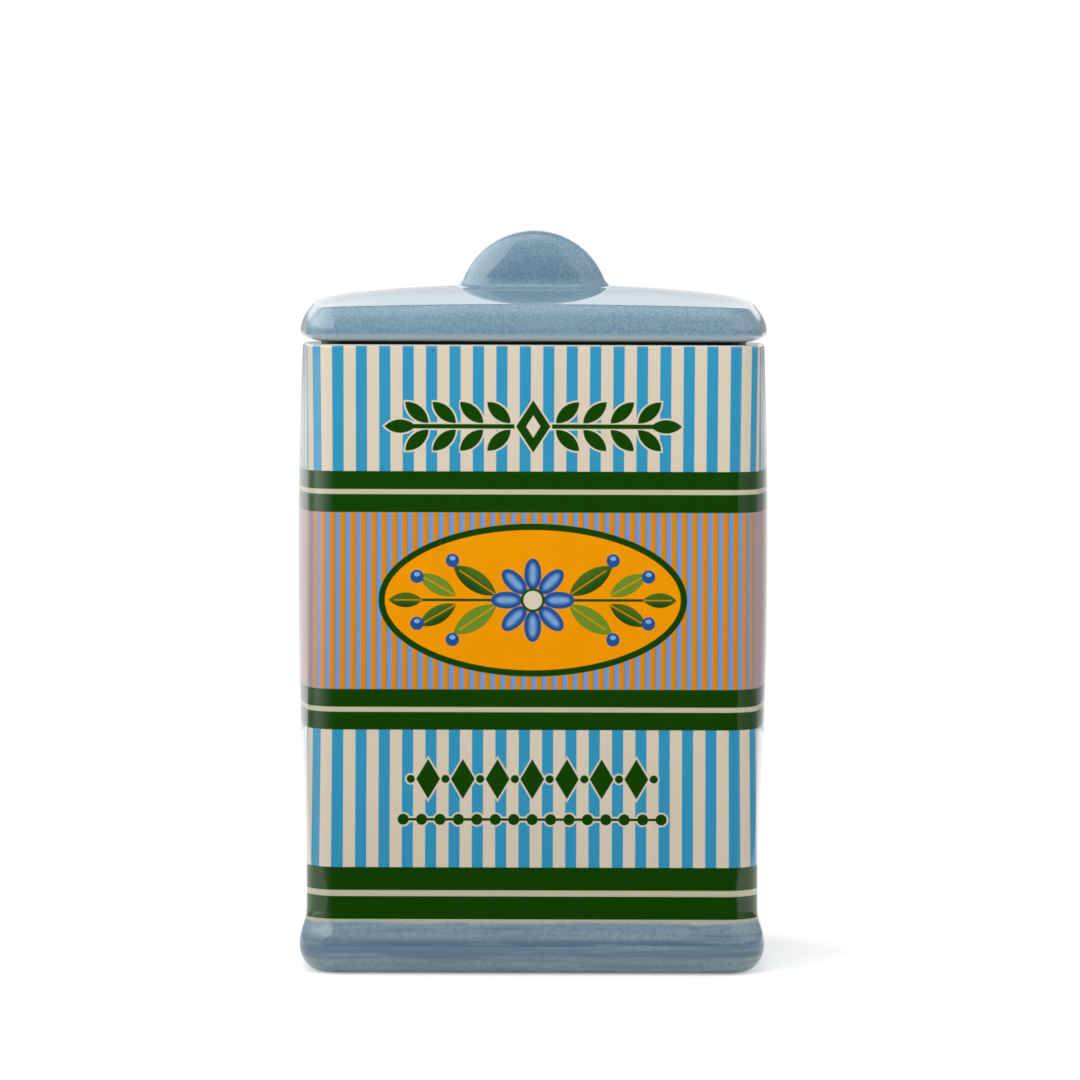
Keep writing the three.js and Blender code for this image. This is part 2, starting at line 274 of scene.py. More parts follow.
def bezier(*control, steps=ARC_STEPS):
    """A curve in a profile, drawn towards its control points."""
    along = np.linspace(0, 1, steps + 1)[:, None]
    points = np.array(control)[:, None]
    while len(points) > 1:
        points = points[:-1] * (1 - along) + points[1:] * along
    return [tuple(p) for p in points[0]]


def wall(offset, start, end):
    """The plain wall between two levels, at one offset."""
    return [(offset, z) for z in np.linspace(start, end, WALL_STEPS + 1)]


def plan_arc(centre, radius, start, end, steps):
    """Points along an arc in plan, after its first one."""
    angles = np.linspace(start, end, steps + 1)[1:]
    return np.column_stack([centre[0] + radius * np.cos(angles), centre[1] + radius * np.sin(angles)])


def jar_quarter(offset, bow):
    """A quarter of the jar's plan: a flat front, a round corner and half of the bowed side."""
    half_depth = HALF_DEPTH + offset
    corner = max(BODY_CORNER + offset, INNER_CORNER)
    straight = half_depth - corner
    bow = max(bow, FLATTEST_BOW)
    side_radius = (straight ** 2 + bow ** 2) / (2 * bow)
    turn = asin(straight / (side_radius - corner))
    side_x = HALF_WIDTH + offset + bow - side_radius
    corner_x = side_x + (side_radius - corner) * cos(turn)
    front_x = np.linspace(0, corner_x, FRONT_STEPS + 1)
    return np.concatenate([
        np.column_stack([front_x, np.full_like(front_x, -half_depth)]),
        plan_arc((corner_x, -straight), corner, -pi / 2, -turn, CORNER_STEPS),
        plan_arc((side_x, 0), side_radius, -turn, 0, SIDE_STEPS),
    ])


def grip_quarter(height, margin):
    """A quarter of a level section through the grip, grown by a margin. Its points match the jar's plan
    at the roof and are evenly spread higher up."""
    half = GRIP_THICKNESS / 2
    edge_in = GRIP_RADIUS - GRIP_FLAT
    widest = acos(max((height - GRIP_FLAT) / edge_in, 0))
    round_steps = CORNER_STEPS + SIDE_STEPS
    angles = np.linspace(widest, 0, round_steps * GRIP_DENSE + 1)
    radius = GRIP_FLAT + edge_in * np.cos(angles)
    x = np.sqrt(np.maximum(radius ** 2 - height ** 2, 0)) + margin * np.cos(angles)
    curve = np.column_stack([x, -(half + margin) * np.sin(angles)])
    curve = np.concatenate([curve[:1] * (0, 1), curve])
    along = np.concatenate([[0], np.cumsum(np.linalg.norm(np.diff(curve, axis=0), axis=1))])
    matched = np.concatenate([np.linspace(0, along[1], FRONT_STEPS + 1)[:-1], along[1::GRIP_DENSE]])
    even = np.linspace(0, along[-1], len(matched))
    low = RIDGE - GRIP_CENTRE
    spread = min((height - low) / (GRIP_FLAT - low), 1)
    places = matched + (even - matched) * spread
    return np.column_stack([np.interp(places, along, curve[:, 0]), np.interp(places, along, curve[:, 1])])


def whole_ring(quarter, height):
    """Mirrors a quarter into a level ring, anticlockwise from the middle of the front."""
    flips = ((1, 1, 1), (1, -1, -1), (-1, -1, 1), (-1, 1, -1))
    ring = np.concatenate([(quarter * (x, y))[::step][:-1] for x, y, step in flips])
    return np.column_stack([ring, np.full(len(ring), height)])


def jar_ring(offset, height, bow):
    """A level ring at an offset from the body's wall."""
    return whole_ring(jar_quarter(offset, bow), height)


def side_bow(height):
    """How far the side walls bow out at a height."""
    upper = height > FULLEST_HEIGHT
    end = RIM if upper else COVE_TOP
    away = min(max((height - FULLEST_HEIGHT) / (end - FULLEST_HEIGHT), 0), 1)
    return BOW_FULLEST + ((BOW_AT_RIM if upper else BOW_AT_FOOT) - BOW_FULLEST) * away ** 2


def loft(name, rings, loop=False):
    """A smooth closed skin over a stack of rings, capped at its two ends or joined into a loop."""
    rings = np.array(rings)
    count, around = rings.shape[:2]
    points = rings.reshape(-1, 3).tolist()
    following = [(j + 1) % around for j in range(around)]
    faces = []
    for i in range(count if loop else count - 1):
        low = i * around
        high = (i + 1) % count * around
        faces += [(low + j, low + k, high + k, high + j) for j, k in enumerate(following)]
    if not loop:
        top = (count - 1) * around
        points += [rings[0].mean(0).tolist(), rings[-1].mean(0).tolist()]
        faces += [(len(points) - 2, k, j) for j, k in enumerate(following)]
        faces += [(len(points) - 1, top + j, top + k) for j, k in enumerate(following)]
    mesh = bpy.data.meshes.new(name)
    mesh.from_pydata(points, [], faces)
    mesh.shade_smooth()
    mesh.set_sharp_from_angle(angle=SHARP_ANGLE)
    piece = bpy.data.objects.new(name, mesh)
    bpy.context.scene.collection.objects.link(piece)
    return piece


def wrap_map(piece, rings):
    """A map of the wall as printed: distance round the jar from the middle of its front, and height."""
    reference = jar_ring(0, FULLEST_HEIGHT, side_bow(FULLEST_HEIGHT))
    steps = np.linalg.norm(np.roll(reference, -1, 0) - reference, axis=1)
    along = np.concatenate([[0], np.cumsum(steps)])
    girth = along[-1]
    corners = []
    for low, high in zip(rings[:-1], rings[1:]):
        for j in range(len(low)):
            back = girth if j >= len(low) // 2 else 0
            left = along[j] - back
            right = along[j + 1] - back
            corners += [(left, low[j][2]), (right, low[j][2]), (right, high[j][2]), (left, high[j][2])]
    layer = piece.data.uv_layers.new(name=WRAP)
    values = np.zeros((len(piece.data.loops), 2))
    values[:len(corners)] = corners
    layer.data.foreach_set("uv", values.ravel())
    return girth


def jar_glazed():
    """The jar, from the recess underneath, up the outside, over the rim and down the inside."""
    ring_outside = FOOT_PROUD - FOOT_ROUND
    ring_inside = ring_outside - FOOT_RING
    cove_full = FOOT_FULLEST + COVE_FULL * COVE_HEIGHT
    cove_tight = COVE_TOP - COVE_TIGHT * COVE_HEIGHT
    rim_out = (-RIM_OUTER_ROUND, RIM - RIM_OUTER_ROUND)
    rim_in = (RIM_INNER_ROUND - WALL, RIM - RIM_INNER_ROUND)
    floor_edge = (-WALL - FLOOR_FILLET, FLOOR + FLOOR_FILLET)
    stretches = (
        ("clay", [(ring_inside - RECESS_DRAFT, RECESS), (ring_inside, 0)]),
        ("clay", [(ring_inside, 0), (ring_outside, 0)]),
        ("print", arc((ring_outside, FOOT_FULLEST), FOOT_ROUND, FOOT_FULLEST, -90, 0)),
        ("print", bezier(
            (FOOT_PROUD, FOOT_FULLEST), (FOOT_PROUD, cove_full), (0, cove_tight), (0, COVE_TOP))),
        ("print", wall(0, COVE_TOP, rim_out[1])),
        ("print", arc(rim_out, RIM_OUTER_ROUND, RIM_OUTER_ROUND, 0, 90)),
        ("cream", arc(rim_in, RIM_INNER_ROUND, RIM_INNER_ROUND, 90, 180)),
        ("cream", wall(-WALL, rim_in[1], floor_edge[1])),
        ("cream", arc(floor_edge, FLOOR_FILLET, FLOOR_FILLET, 0, -90)),
    )
    rings, surfaces = [], []
    for surface, points in stretches:
        for offset, height in points:
            ring = jar_ring(offset, height, side_bow(height))
            if rings and np.allclose(ring, rings[-1], atol=SAME_RING):
                continue
            surfaces.append(surface)
            rings.append(ring)
    piece = loft("jar_glazed", rings)
    girth = wrap_map(piece, rings)
    materials = {"print": printed_glaze(girth), "cream": cream_glaze(), "clay": bare_clay()}
    order = list(materials)
    for material in materials.values():
        piece.data.materials.append(material)
    around = len(rings[0])
    slots = np.repeat([order.index(s) for s in surfaces[1:]], around)
    caps = np.repeat([order.index("clay"), order.index("cream")], around)
    piece.data.polygons.foreach_set("material_index", np.concatenate([slots, caps]).astype(np.int32))
    return piece


def above_edge(ring):
    """How far each point is on the way from the lid's fullest line up to its roof, from 0 to 1."""
    return np.clip((ring[:, 2] - EDGE_FULLEST) / (ROOF_EDGE - EDGE_FULLEST), 0, 1)


def droop(ring):
    """Lets the upper part of the lid sink towards its four corners and rise in the middle of its ends."""
    across = (ring[:, 0] / (HALF_WIDTH + LID_OVERHANG)) ** 2
    deep = (ring[:, 1] / (HALF_DEPTH + LID_OVERHANG)) ** 2
    ring[:, 2] += above_edge(ring) * across * (END_LIFT - (END_LIFT + CORNER_DROP) * deep)
    return ring


def round_shoulders(ring):
    """Sinks the two ends of the lid's edge and of the roof next to it, so that they turn down softly."""
    past = np.abs(ring[:, 0]) - (LID_HIGH.x - FLANK_IN - SHOULDER_RUN)
    ring[:, 2] -= SHOULDER_DROP * above_edge(ring) * np.clip(past / SHOULDER_RUN, 0, 1) ** 2
    return ring


def lid_shell():
    """The lid from the ceiling of its hollow, round the plug, along its underside and over its edge."""
    ceiling_edge = (PLUG_INSIDE - CEILING_FILLET, CEILING - CEILING_FILLET)
    plug_foot = PLUG_BOTTOM + PLUG_ROUND
    flank_half = (LID_OVERHANG, EDGE_FULLEST + FLANK_UP / 2)
    flank_top = (LID_OVERHANG - FLANK_IN, EDGE_FULLEST + FLANK_UP)
    round_in = (flank_top[0] - EDGE_ROUND * cos(FLANK_LEAN), flank_top[1] - EDGE_ROUND * sin(FLANK_LEAN))
    level = 90 - degrees(ROOF_PITCH)
    profile = [
        *arc(ceiling_edge, CEILING_FILLET, CEILING_FILLET, 90, 0),
        *arc((PLUG_INSIDE + PLUG_ROUND, plug_foot), PLUG_ROUND, PLUG_ROUND, 180, 270),
        *arc((BEAD_OUTSIDE - PLUG_ROUND, plug_foot), PLUG_ROUND, PLUG_ROUND, -90, 0),
        (BEAD_OUTSIDE, BEAD_TOP),
        (GROOVE_FLOOR, BEAD_TOP),
        (GROOVE_FLOOR, LID_SEAT),
        *arc((LID_OVERHANG - EDGE_UNDER_IN, EDGE_FULLEST), EDGE_UNDER_IN, EDGE_UNDER_UP, -90, 0),
        *bezier((LID_OVERHANG, EDGE_FULLEST), flank_half, flank_top)[1:],
        *arc(round_in, EDGE_ROUND, EDGE_ROUND, degrees(FLANK_LEAN), level)[1:],
    ]
    return [droop(jar_ring(offset, height, BOW_AT_RIM)) for offset, height in profile]


def grip_rings():
    """The fillet and the half-moon grip that stand on the ridge, as rings from the roof up."""
    rings = []
    for angle in np.linspace(0, pi / 2, ARC_STEPS + 1):
        rise = GRIP_FILLET * (1 - cos(angle))
        margin = GRIP_FILLET * (1 - sin(angle))
        ring = whole_ring(grip_quarter(RIDGE + rise - GRIP_CENTRE, margin), RIDGE + rise)
        ring[:, 2] -= RIDGE_FALL * (1 - rise / GRIP_FILLET) * np.abs(ring[:, 1])
        rings.append(ring)
    start = asin((RIDGE + GRIP_FILLET - GRIP_CENTRE) / GRIP_RADIUS)
    for angle in np.linspace(start, GRIP_TOP_ANGLE, GRIP_STEPS + 1)[1:]:
        height = GRIP_RADIUS * sin(angle)
        rings.append(whole_ring(grip_quarter(height, 0), GRIP_CENTRE + height))
    return rings


def roof_rings(edge, ridge):
    """The hipped roof between the lid's edge and the grip, steeper at the edge than at the ridge. Its rings
    are closer together at the edge."""
    rings = []
    for run in np.linspace(0, 1, ROOF_STEPS + 1)[1:-1] ** ROOF_CROWDING:
        rise = run * (1 + ROOF_CROWN * (1 - run))
        ring = edge + (ridge - edge) * run
        ring[:, 2] = edge[:, 2] + (ridge[:, 2] - edge[:, 2]) * rise
        rings.append(ring)
    return rings


def lid_glazed():
    """The lid and its grip, as one skin."""
    shell = lid_shell()
    grip = grip_rings()
    rings = [*shell, *roof_rings(shell[-1], grip[0]), *grip]
    piece = loft("lid_glazed", [round_shoulders(ring) for ring in rings])
    piece.data.materials.append(blue_glaze())
    return piece


def seal_silicone():
    """A sleeve in the plug's groove, fins towards the wall of the jar and a lip that the lid rests on."""
    bottom = BEAD_TOP + SEAL_SEAT_GAP
    lip_end = SEAL_LIP_REACH - WALL
    profile = [(SLEEVE_INSIDE, bottom), (SLEEVE_OUTSIDE, bottom)]
    for i in range(FIN_COUNT):
        middle = RIM - RIM_INNER_ROUND - FIN_PITCH * (FIN_COUNT - i) + FIN_PITCH / 2
        profile.append((SLEEVE_OUTSIDE, middle - FIN_ROOT / 2))
        profile += arc((FIN_END - FIN_TIP / 2, middle), FIN_TIP / 2, FIN_TIP / 2, -90, 90, FIN_STEPS)
        profile.append((SLEEVE_OUTSIDE, middle + FIN_ROOT / 2))
    profile += [
        (SLEEVE_OUTSIDE, RIM),
        (lip_end, RIM),
        (lip_end, LID_SEAT),
        (SLEEVE_INSIDE, LID_SEAT),
    ]
    piece = loft("seal_silicone", [jar_ring(x, z, BOW_AT_RIM) for x, z in profile], loop=True)
    piece.data.materials.append(silicone())
    return piece


# Fields, which the materials and the studio are painted with

class Field:
    """A number that varies over a surface or with direction: one socket of a node tree, with arithmetic."""

    def __init__(self, tree, socket):
        self.tree = tree
        self.socket = socket

    def math(self, operation, *others):
        node = self.tree.nodes.new("ShaderNodeMath")
        node.operation = operation
        for socket, value in zip(node.inputs, (self, *others)):
            connect(self.tree, socket, value)
        return Field(self.tree, node.outputs[0])

    def __add__(self, other):
        return self.math("ADD", other)

    def __sub__(self, other):
        return self.math("SUBTRACT", other)

    def __mul__(self, other):
        return self.math("MULTIPLY", other)

    def __truediv__(self, other):
        return self.math("DIVIDE", other)

    def __abs__(self):
        return self.math("ABSOLUTE")

    def greater(self, other):
        return self.math("MAXIMUM", other)

    def lesser(self, other):
        return self.math("MINIMUM", other)

    def towards(self, other, share):
        """Part of the way from this field to another field or number."""
        return self + (self * -1 + other) * share

    def below(self, level, blur=PRINT_BLUR):
        """1 where the field is below a level and 0 above it, with a soft step."""
        return self.ramp(level - blur, level + blur, 1, 0)

    def ramp(self, low, high, at_low=0, at_high=1):
        """A smooth step from one level of the field to another."""
        node = self.tree.nodes.new("ShaderNodeMapRange")
        node.interpolation_type = "SMOOTHSTEP"
        values = {"Value": self, "From Min": low, "From Max": high, "To Min": at_low, "To Max": at_high}
        for name, value in values.items():
            connect(self.tree, node.inputs[name], value)
        return Field(self.tree, node.outputs["Result"])

    def cell(self, pitch, middle=0):
        """Distance from the middle of the nearest of a row of cells."""
        return (self - (middle - pitch / 2)).math("FLOORED_MODULO", pitch) - pitch / 2

    def row(self, first, pitch, count):
        """Distance from the nearest of a row of places."""
        step = ((self - first) / pitch).math("ROUND").greater(0).lesser(count - 1)
        return self - step * pitch - first


def connect(tree, socket, value):
    """Sets a socket to a plain value, or links it to a field or another socket."""
    if isinstance(value, Field):
        value = value.socket
    if isinstance(value, bpy.types.NodeSocket):
        tree.links.new(value, socket)
    else:
        socket.default_value = value


def paint(tree, under, share, over):
    """One colour over another, as thick as a field says."""
    node = tree.nodes.new("ShaderNodeMix")
    node.data_type = "RGBA"
    factor, a, b = node.inputs["Factor"], node.inputs[6], node.inputs[7]
    connect(tree, factor, share)
    connect(tree, a, under)
    connect(tree, b, over)
    return node.outputs[2]


def components(tree, vector):
    """The three numbers of a vector socket, as fields."""
    node = tree.nodes.new("ShaderNodeSeparateXYZ")
    connect(tree, node.inputs[0], vector)
    return [Field(tree, socket) for socket in node.outputs]


def place_on_piece(tree):
    """The position on a surface, in the frame of its piece."""
    return tree.nodes.new("ShaderNodeTexCoord").outputs["Object"]


def noise(tree, size, detail=2, stretch=(1, 1, 1)):
    """Cloudy noise from 0 to 1 with features of a given size, fixed to the piece."""
    scaled = tree.nodes.new("ShaderNodeVectorMath")
    scaled.operation = "MULTIPLY"
    connect(tree, scaled.inputs[0], place_on_piece(tree))
    scaled.inputs[1].default_value = stretch
    node = tree.nodes.new("ShaderNodeTexNoise")
    connect(tree, node.inputs["Vector"], scaled.outputs[0])
    node.inputs["Scale"].default_value = 1 / size
    node.inputs["Detail"].default_value = detail
    return Field(tree, node.outputs["Fac"])


def specks(tree, spacing, radius, share):
    """Small round specks, in a share of cells of a given size."""
    node = tree.nodes.new("ShaderNodeTexVoronoi")
    connect(tree, node.inputs["Vector"], place_on_piece(tree))
    node.inputs["Scale"].default_value = 1 / spacing
    tint = tree.nodes.new("ShaderNodeSeparateColor")
    connect(tree, tint.inputs[0], node.outputs["Color"])
    sharp = 0.001
    chosen = Field(tree, tint.outputs[0]).below(share, sharp)
    size = radius / spacing
    return Field(tree, node.outputs["Distance"]).below(size, size / 4) * chosen


def new_material(name):
    """A material, its node tree and its shader."""
    material = bpy.data.materials.new(name)
    material.use_nodes = True
    return material, material.node_tree, material.node_tree.nodes["Principled BSDF"]


def bump(tree, shader, height, depth):
    """An uneven surface, from a field."""
    node = tree.nodes.new("ShaderNodeBump")
    node.inputs["Distance"].default_value = depth
    connect(tree, node.inputs["Height"], height)
    connect(tree, shader.inputs["Normal"], node.outputs[0])


def gloss(tree, shader, colour, roughness):
    """A glassy surface: a colour, a roughness that varies a little, and the faint waves of a glaze."""
    smoothest, roughest, ripple_share = 0.8, 1.3, 0.06
    connect(tree, shader.inputs["Base Color"], colour)
    clouds = noise(tree, 9 * MM, detail=3)
    varied = clouds.ramp(0.3, 0.7, roughness * smoothest, roughness * roughest)
    connect(tree, shader.inputs["Roughness"], varied)
    waves = noise(tree, 14 * MM, detail=1) + noise(tree, 1.6 * MM, detail=2) * ripple_share
    bump(tree, shader, waves, GLAZE_UNEVENNESS)


# Drawn shapes, as distances that are negative inside

def span(x, z):
    """Distance from the origin."""
    return (x * x + z * z).math("SQRT")


def ellipse(x, z, half_width, half_height):
    """An ellipse about the origin. The distance is exact only at its outline."""
    near = span(x / half_width, z / half_height)
    steep = span(x / half_width ** 2, z / half_height ** 2)
    return near * (near - 1) / steep


def lozenge(x, z, half_width, half_height):
    """A lozenge about the origin."""
    slant = half_width * half_height / hypot(half_width, half_height)
    return (abs(x) / half_width + abs(z) / half_height - 1) * slant


def leaf_frame(x, z, place, angle):
    """Distances along and across a leaf that points at an angle in degrees."""
    turn = radians(angle)
    over, up = x - place[0], z - place[1]
    return over * cos(turn) + up * sin(turn), up * cos(turn) - over * sin(turn)


def leaf(x, z, place, angle, length, width):
    """A lens between two arcs."""
    along, across = leaf_frame(x, z, place, angle)
    radius = (length ** 2 + width ** 2) / (4 * width)
    lift = abs(across) + (radius - width / 2)
    return span(along, lift) - radius


# Materials

def cream(tree, clouds):
    """Cream glaze, a little darker in its clouds."""
    return paint(tree, CREAM, clouds.ramp(0.35, 0.75, at_high=0.25), CREAM_SHADE)


def striped_ground(tree, around, height, girth):
    """Cream glaze with broad blue stripes, up to the edge of the print."""
    clouds = noise(tree, GLAZE_CLOUD_SIZE, detail=4)
    blue = paint(tree, STRIPE_BLUE, clouds.ramp(0.3, 0.7, at_high=0.3), STRIPE_SHADE)
    pitch = girth / STRIPE_COUNT
    bare = abs(around.cell(pitch, CREAM_STRIPE_AT)) - pitch * (1 - STRIPE_SHARE) / 2
    striped = bare.ramp(-PRINT_BLUR, PRINT_BLUR)
    printed = abs(height - (PRINT_TOP + PRINT_BOTTOM) / 2).below((PRINT_TOP - PRINT_BOTTOM) / 2)
    return paint(tree, cream(tree, clouds), striped * printed, blue)


def fine_panel(tree, around, height, girth, colour):
    """The panel of fine orange and blue stripes between the upper two bands."""
    pitch = girth / FINE_COUNT
    place = around.cell(pitch, ORANGE_STRIPE_AT)
    orange = abs(place).below(pitch * FINE_SHARE / 2, FINE_BLUR)
    edge = abs(place - pitch * FINE_SHARE / 2).below(pitch * FINE_LINE / 2)
    fine = paint(tree, paint(tree, FINE_BLUE, orange, FINE_ORANGE), edge * FINE_LINE_INK, FINE_EDGE)
    upper, lower = BANDS[0][0], BANDS[1][0]
    between = abs(height - (upper + lower) / 2).below((upper - lower) / 2)
    return paint(tree, colour, between, fine)


def bands(tree, height, colour):
    """Dark green bands, each with a cream line along its middle."""
    mottle = noise(tree, FINE_MOTTLE_SIZE, detail=3)
    green = paint(tree, BAND_GREEN, mottle.ramp(0.3, 0.75, at_high=0.5), BAND_SHADE)
    for middle, half, line in BANDS:
        from_middle = abs(height - middle)
        colour = paint(tree, colour, from_middle.below(half), green)
        colour = paint(tree, colour, from_middle.below(line), BAND_LINE)
    return colour


def spray_leaf(tree, x, z, colour, place, angle, length, width, green):
    """One leaf of a spray, paler along one edge and with a vein in the colour of the ground."""
    vein_half, vein_reach, vein_ink, paler = 0.2 * MM, 0.36, 0.6, 0.45
    along, across = leaf_frame(x, z, place, angle)
    vein = abs(across).below(vein_half) * along.below(length * vein_reach)
    lit = paint(tree, green, across.ramp(-width / 2, width / 2, at_high=paler), LEAF_LIGHT)
    veined = paint(tree, lit, vein * vein_ink, GROUND_ORANGE)
    return paint(tree, colour, leaf(x, z, place, angle, length, width).below(0), veined)


def spray_berry(tree, x, z, colour, place):
    """One round berry of a spray, with a pale glint."""
    radius, glint_up, glint_half = 1.8 * MM, 0.6 * MM, (0.8 * MM, 0.6 * MM)
    over, up = x - place[0], z - place[1]
    berry = paint(tree, FLOWER_BLUE, ellipse(over, up - glint_up, *glint_half).below(0), FLOWER_PALE)
    return paint(tree, colour, ellipse(over, up, radius, radius).below(0), berry)


def spray(tree, x, z, colour):
    """Mirrored sprays of leaves and berries on either side of the medallion's middle."""
    stem_middle, stem_half, stem_thin = 20 * MM, 12 * MM, 0.35 * MM
    side = abs(x)
    stem = abs(z).below(stem_thin) * abs(side - stem_middle).below(stem_half)
    colour = paint(tree, colour, stem, LEAF_DARK)
    for form in SPRAY_LEAVES:
        colour = spray_leaf(tree, side, z, colour, *form)
    for place in SPRAY_BERRIES:
        colour = spray_berry(tree, side, z, colour, place)
    return colour


def rosette(tree, x, z, colour):
    """An eight-petalled blue flower in the middle of the medallion."""
    petals, petal_middle, petal_half = 8, 7 * MM, (4.2 * MM, 2.3 * MM)
    eye, eye_ring = 2.5 * MM, 3.2 * MM
    radius = span(x, z)
    turn = abs(z.math("ARCTAN2", x).cell(2 * pi / petals))
    over, up = radius * turn.math("COSINE"), radius * turn.math("SINE")
    petal = ellipse(over - petal_middle, up, *petal_half)
    blue = paint(tree, FLOWER_BLUE, petal.ramp(-2.3 * MM, -0.6 * MM, 0.9, 0), FLOWER_PALE)
    colour = paint(tree, colour, petal.below(0), blue)
    colour = paint(tree, colour, radius.below(eye_ring), LEAF_DARK)
    return paint(tree, colour, radius.below(eye), CREAM)


def medallion(tree, around, height, colour):
    """An oval panel with a green ring, a flower and mirrored sprays, all of them plain folk motifs."""
    x, z = around, height - MEDALLION_HEIGHT
    edge = ellipse(x, z, *MEDALLION_HALF)
    clouds = noise(tree, GROUND_CLOUD_SIZE, detail=3)
    ground = paint(tree, GROUND_ORANGE, clouds.ramp(0.35, 0.8, at_high=0.35), GROUND_SHADE)
    panel = rosette(tree, x, z, spray(tree, x, z, ground))
    colour = paint(tree, colour, edge.below(0), BAND_GREEN)
    return paint(tree, colour, edge.below(-MEDALLION_RING), panel)


def inked(tree, colour, shape):
    """A dark green motif with a thin pale outline."""
    colour = paint(tree, colour, shape.below(OUTLINE), CREAM)
    return paint(tree, colour, shape.below(0), BAND_GREEN)


def garland(tree, around, height, colour):
    """Pairs of leaves on a stem, mirrored about a lozenge."""
    pitch, start, pairs = 7.3 * MM, 5.2 * MM, 4
    leaf_place, leaf_angle, leaf_size = (0.3 * MM, 3.7 * MM), 42, (8.4 * MM, 3.6 * MM)
    tip_place = (GARLAND_HALF - 4 * MM, 0)
    stem_middle, stem_half, stem_thin = 20 * MM, 15 * MM, 0.6 * MM
    lozenge_half, lozenge_eye = (4.6 * MM, 7 * MM), (1.9 * MM, 3 * MM)
    side, rise = abs(around), height - GARLAND_HEIGHT
    run = side.row(start + pitch / 2, pitch, pairs)
    pair = leaf(run, abs(rise), leaf_place, leaf_angle, *leaf_size)
    tip = leaf(side, rise, tip_place, 0, *leaf_size)
    stem = (abs(side - stem_middle) - stem_half).greater(abs(rise) - stem_thin)
    middle = lozenge(around, rise, *lozenge_half)
    colour = inked(tree, colour, pair.lesser(tip).lesser(stem).lesser(middle))
    return paint(tree, colour, lozenge(around, rise, *lozenge_eye).below(0), CREAM)


def lozenge_row(tree, around, height, colour):
    """A row of lozenges with a dot between each two and at either end."""
    count, lozenge_half, dot = 7, (3.2 * MM, 5.4 * MM), 1.1 * MM
    rise = height - LOZENGES_HEIGHT
    pitch = 2 * LOZENGES_HALF / count
    first = pitch * (count - 1) / -2
    lozenges = lozenge(around.row(first, pitch, count), rise, *lozenge_half)
    dots = ellipse(around.row(first - pitch / 2, pitch, count + 1), rise, dot, dot)
    return inked(tree, colour, lozenges.lesser(dots))


def bead_row(tree, around, height, colour):
    """A row of beads on a thread."""
    count, bead, thread_thin = 15, 1.5 * MM, 0.35 * MM
    rise = height - BEADS_HEIGHT
    pitch = 2 * BEADS_HALF / (count - 1)
    beads = ellipse(around.row(-BEADS_HALF, pitch, count), rise, bead, bead)
    thread = (abs(rise) - thread_thin).greater(abs(around) - BEADS_HALF)
    return inked(tree, colour, beads.lesser(thread))


def foot_glaze(tree, height, colour):
    """Blue glaze brushed round the foot, streaky and with an uneven upper edge, under a greyish line below
    the lowest band.
    """
    band_middle, band_half, _ = BANDS[-1]
    colour = paint(tree, colour, height.below(band_middle - band_half), FOOT_LINE)
    streaks = noise(tree, STREAK_SIZE, detail=2, stretch=STREAK_STRETCH)
    mottle = noise(tree, FINE_MOTTLE_SIZE, detail=4)
    # Painted reflection: paler high on the bullnose, where it faces the light above, and paler low down,
    # partly thinner glaze and partly the pale table mirrored
    blue = paint(tree, FOOT_BLUE, height.ramp(*FOOT_UPPER_SHEEN, at_high=0.8), FOOT_UPPER_SHEEN_BLUE)
    blue = paint(tree, blue, height.ramp(*FOOT_LOWER_THIN_AND_SHEEN, 0.8, 0), FOOT_LOWER_THIN_AND_SHEEN_BLUE)
    blue = paint(tree, blue, streaks.ramp(0.32, 0.5, 0.6, 0), FOOT_DARK_STREAK)
    blue = paint(tree, blue, streaks.ramp(0.5, 0.68, at_high=0.6), FOOT_PALE_STREAK)
    blue = paint(tree, blue, mottle.ramp(0.4, 0.75, at_high=0.5), FOOT_MOTTLE)
    wander = (noise(tree, FOOT_WANDER_SIZE, detail=2, stretch=(1, 1, 0)) - 0.5) * FOOT_WANDER
    covered = (height + wander).below(FOOT_GLAZE_TOP, FOOT_GLAZE_BLUR)
    return paint(tree, colour, covered, blue)


def flecked(tree, colour):
    """Dark iron specks and a few pale pinholes in a glaze."""
    iron = specks(tree, spacing=9 * MM, radius=0.28 * MM, share=0.09)
    holes = specks(tree, spacing=13 * MM, radius=0.3 * MM, share=0.05)
    colour = paint(tree, colour, iron * 0.75, IRON_SPECK)
    return paint(tree, colour, holes * 0.8, PINHOLE)


def printed_glaze(girth):
    """The outside of the jar: the fired transfer and the blue glaze on the foot."""
    material, tree, shader = new_material("printed_glaze")
    wrap = tree.nodes.new("ShaderNodeUVMap")
    wrap.uv_map = WRAP
    around, height, _ = components(tree, wrap.outputs[0])
    colour = striped_ground(tree, around, height, girth)
    colour = fine_panel(tree, around, height, girth, colour)
    colour = bands(tree, height, colour)
    colour = medallion(tree, around, height, colour)
    colour = garland(tree, around, height, colour)
    colour = lozenge_row(tree, around, height, colour)
    colour = bead_row(tree, around, height, colour)
    colour = foot_glaze(tree, height, colour)
    gloss(tree, shader, flecked(tree, colour), PRINT_ROUGHNESS)
    return material


def cream_glaze():
    """The inside of the jar."""
    material, tree, shader = new_material("cream_glaze")
    colour = cream(tree, noise(tree, GLAZE_CLOUD_SIZE, detail=4))
    gloss(tree, shader, flecked(tree, colour), CREAM_ROUGHNESS)
    return material


def bare_clay():
    """Unglazed stoneware under the foot, with a sandy grain."""
    material, tree, shader = new_material("bare_clay")
    grain = noise(tree, CLAY_GRAIN_SIZE, detail=4)
    connect(tree, shader.inputs["Base Color"], paint(tree, CLAY, grain.ramp(0.35, 0.7), CLAY_GRAIN))
    shader.inputs["Roughness"].default_value = CLAY_ROUGHNESS
    bump(tree, shader, grain, CLAY_GRAIN_DEPTH)
    return material


